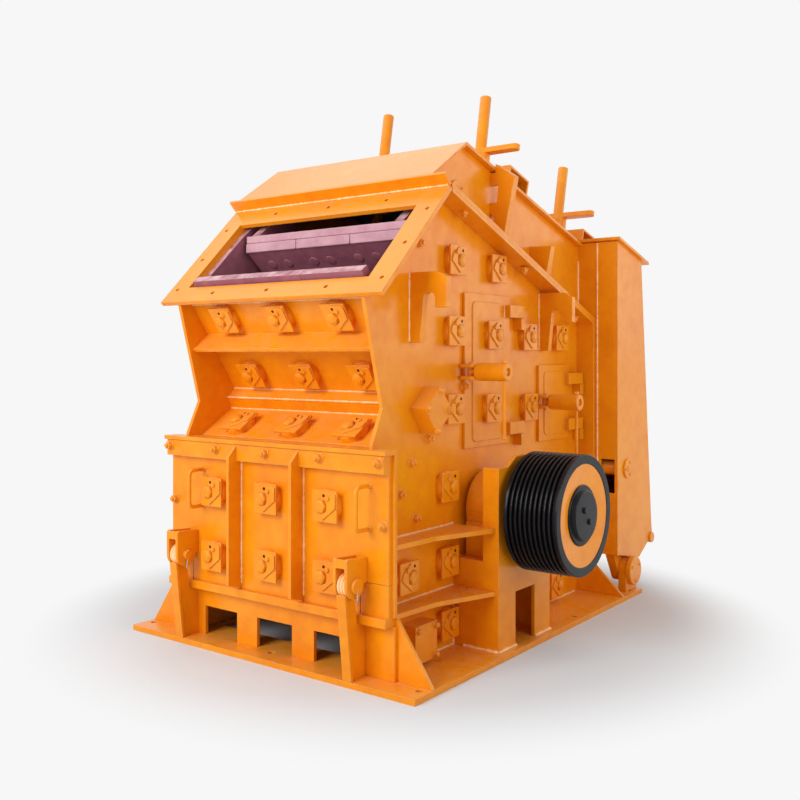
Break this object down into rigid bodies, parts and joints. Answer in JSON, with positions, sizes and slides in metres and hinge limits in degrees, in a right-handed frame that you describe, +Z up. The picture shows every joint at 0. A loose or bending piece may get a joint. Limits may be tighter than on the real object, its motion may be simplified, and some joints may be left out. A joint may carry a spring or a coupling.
{
  "type": "stone crusher",
  "caption": "Horizontal shaft impact crusher with sloped inlet, bottom-hinged front door, belt pulley, inspection doors and a rear frame that tips back.",
  "frame": {"origin": "centre of the foundation bolt pattern, on the ground under the base plate", "axes": "+X along the rotor shaft towards the drive pulley, +Y from the feed side to the rear frame, +Z up"},
  "size_m": [2.2, 2.773, 3.0301],
  "materials": {
    "orange_paint": "gloss",
    "liner_plate": "matt",
    "bearing_casting": "painted",
    "bare_steel": "satin",
    "rotor_steel": "rough",
    "black_paint": "gloss"
  },
  "bodies": {
    "housing": {"base_plate": "orange_paint", "bearing_left": "bearing_casting", "bearing_right": "bearing_casting", "door_hinge_posts": "orange_paint", "feed_liners": "liner_plate", "feed_wall": "orange_paint", "front_flanges": "orange_paint", "gussets": "orange_paint", "head_flange": "orange_paint", "inlet_flange": "orange_paint", "lifting_hooks": "orange_paint", "liner_lock_plates": "orange_paint", "lower_front_wall": "orange_paint", "lower_rear_wall": "orange_paint", "pedestal_left": "orange_paint", "pedestal_right": "orange_paint", "rear_hinge_lugs": "orange_paint", "side_door_hinge_blocks": "orange_paint", "side_liners": "liner_plate", "side_ribs": "orange_paint", "side_wall_left": "orange_paint", "side_wall_right": "orange_paint", "sill": "orange_paint", "split_flanges": "orange_paint", "wall_covers": "orange_paint"},
    "rotor": {"rotor_shaft": "bare_steel", "rotor_discs": "rotor_steel", "blow_bars": "rotor_steel", "drive_pulley": "black_paint", "pulley_hub": "black_paint"},
    "front_door": {"front_door_panel": "orange_paint", "front_door_ribs": "orange_paint", "front_door_hinges": "orange_paint", "front_door_liners": "liner_plate", "door_lock_plates": "orange_paint", "door_handles": "orange_paint"},
    "rear_frame": {"rear_side_right": "orange_paint", "rear_side_left": "orange_paint", "rear_flanges": "orange_paint", "hood": "orange_paint", "roof": "orange_paint", "rear_box_fronts": "orange_paint", "rear_box_sides": "orange_paint", "rear_wall": "orange_paint", "rear_roof": "orange_paint", "rear_hinge_arms": "orange_paint", "rod_beams": "orange_paint", "rear_hooks": "orange_paint"},
    "front_apron": {"front_apron": "liner_plate", "front_rods": "orange_paint"},
    "rear_apron": {"rear_apron": "liner_plate", "rear_rods": "orange_paint"},
    "side_door_front_right": {"side_door_front_right": "orange_paint"},
    "side_door_front_left": {"side_door_front_left": "orange_paint"},
    "side_door_rear_right": {"side_door_rear_right": "orange_paint"},
    "side_door_rear_left": {"side_door_rear_left": "orange_paint"}
  },
  "joints": [
    {"name": "rotor_spin", "type": "hinge", "parent": "housing", "child": "rotor", "pos_m": [0, -0.19, 0.705], "axis": [1, 0, 0], "continuous": true},
    {"name": "front_door_hinge", "type": "hinge", "parent": "housing", "child": "front_door", "pos_m": [0, -1.208, 0.462], "axis": [1, 0, 0], "range_deg": [0, 90]},
    {"name": "rear_frame_hinge", "type": "hinge", "parent": "housing", "child": "rear_frame", "pos_m": [0, 1.15, 0.15], "axis": [-1, 0, 0], "range_deg": [0, 40]},
    {"name": "front_apron_pivot", "type": "hinge", "parent": "rear_frame", "child": "front_apron", "pos_m": [0, -0.43, 2.335], "axis": [1, 0, 0], "range_deg": [0, 4]},
    {"name": "rear_apron_pivot", "type": "hinge", "parent": "rear_frame", "child": "rear_apron", "pos_m": [0, 0.54, 2.02], "axis": [1, 0, 0], "range_deg": [0, 4]},
    {"name": "side_door_front_right_hinge", "type": "hinge", "parent": "housing", "child": "side_door_front_right", "pos_m": [0.675, 0.168, 0], "axis": [0, 0, 1], "range_deg": [0, 90]},
    {"name": "side_door_front_left_hinge", "type": "hinge", "parent": "housing", "child": "side_door_front_left", "pos_m": [-0.675, 0.168, 0], "axis": [0, 0, -1], "range_deg": [0, 90]},
    {"name": "side_door_rear_right_hinge", "type": "hinge", "parent": "housing", "child": "side_door_rear_right", "pos_m": [0.675, 0.9, 0], "axis": [0, 0, 1], "range_deg": [0, 90]},
    {"name": "side_door_rear_left_hinge", "type": "hinge", "parent": "housing", "child": "side_door_rear_left", "pos_m": [-0.675, 0.9, 0], "axis": [0, 0, -1], "range_deg": [0, 90]}
  ]
}
